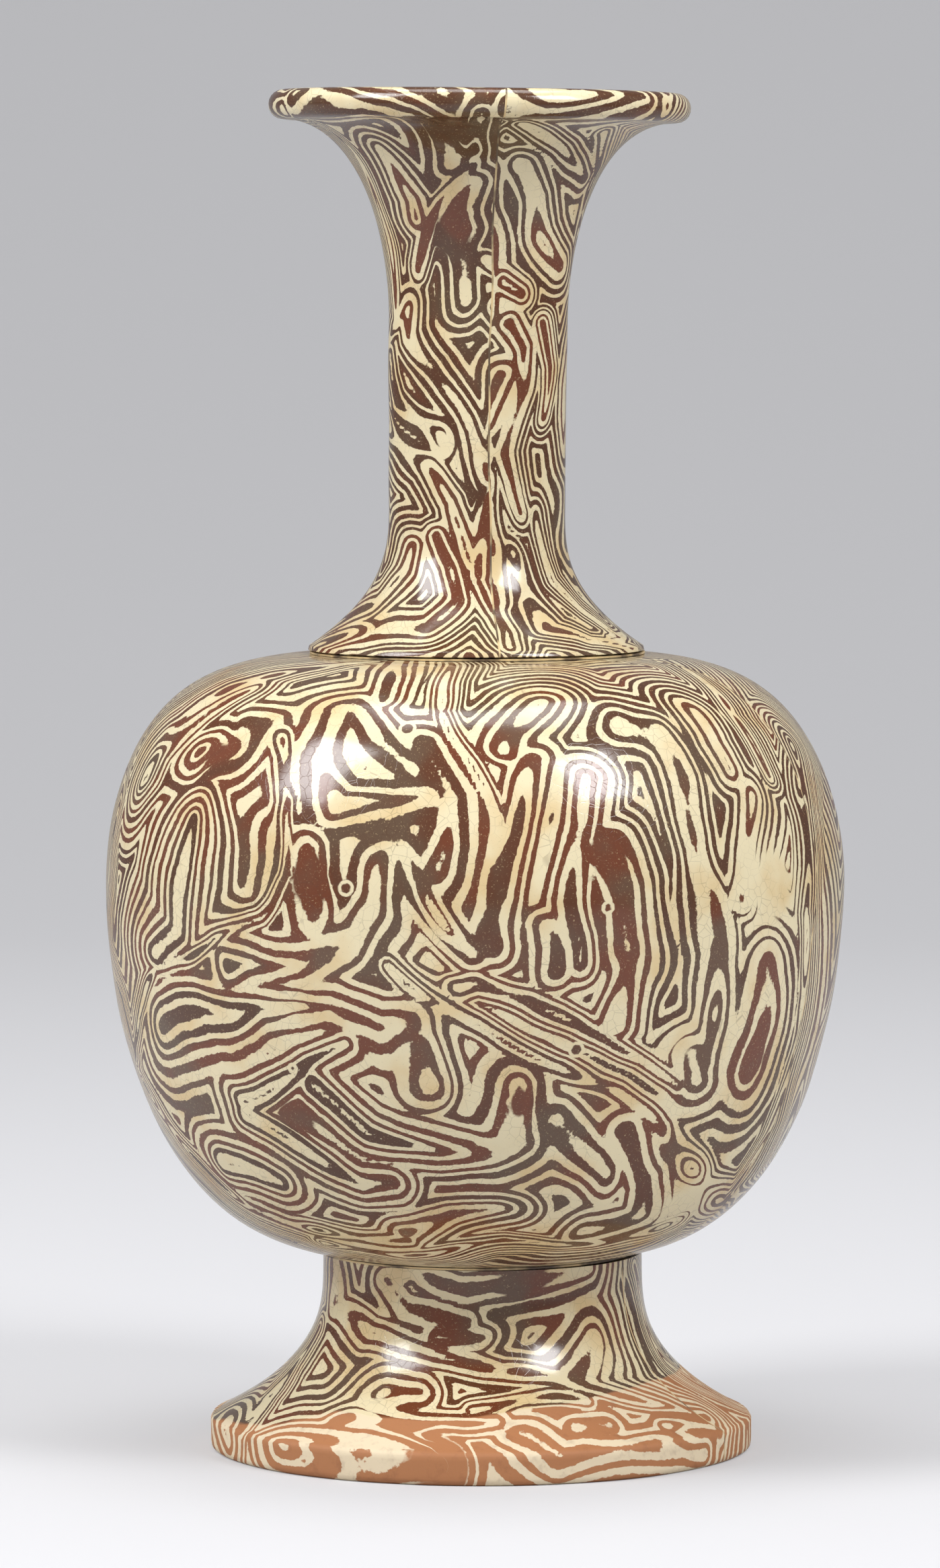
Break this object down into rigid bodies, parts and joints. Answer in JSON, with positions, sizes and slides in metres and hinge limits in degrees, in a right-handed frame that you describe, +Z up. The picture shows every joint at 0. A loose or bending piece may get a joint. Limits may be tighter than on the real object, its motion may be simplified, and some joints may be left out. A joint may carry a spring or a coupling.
{
  "type": "bottle vase",
  "caption": "Glazed earthenware bottle vase with marbled clay, a round body, a tall neck with a turned-out lip and a hollow spreading foot.",
  "frame": {"origin": "centre of the ring that the foot stands on, on the table plane", "axes": "+Z up along the axis of the body and neck, -Y towards the front, +X to the right as seen from the front"},
  "size_m": [0.1168, 0.1168, 0.215],
  "materials": {
    "neck_clay": "cream and brown marbled clay under a clear crackled gloss glaze",
    "body_clay": "cream and brown marbled clay under a clear crackled gloss glaze",
    "foot_clay": "cream and brown marbled clay, glazed above and bare along the lower edge",
    "slip": "fired clay slip, matte"
  },
  "bodies": {
    "root": {"neck_left": "neck_clay", "neck_right": "neck_clay", "neck_front_luting": "slip", "neck_back_luting": "slip", "neck_base_luting": "slip", "body_front": "body_clay", "body_back": "body_clay", "body_luting": "slip", "foot_front": "foot_clay", "foot_back": "foot_clay", "foot_right_luting": "slip", "foot_left_luting": "slip", "foot_top_luting": "slip"}
  },
  "joints": []
}
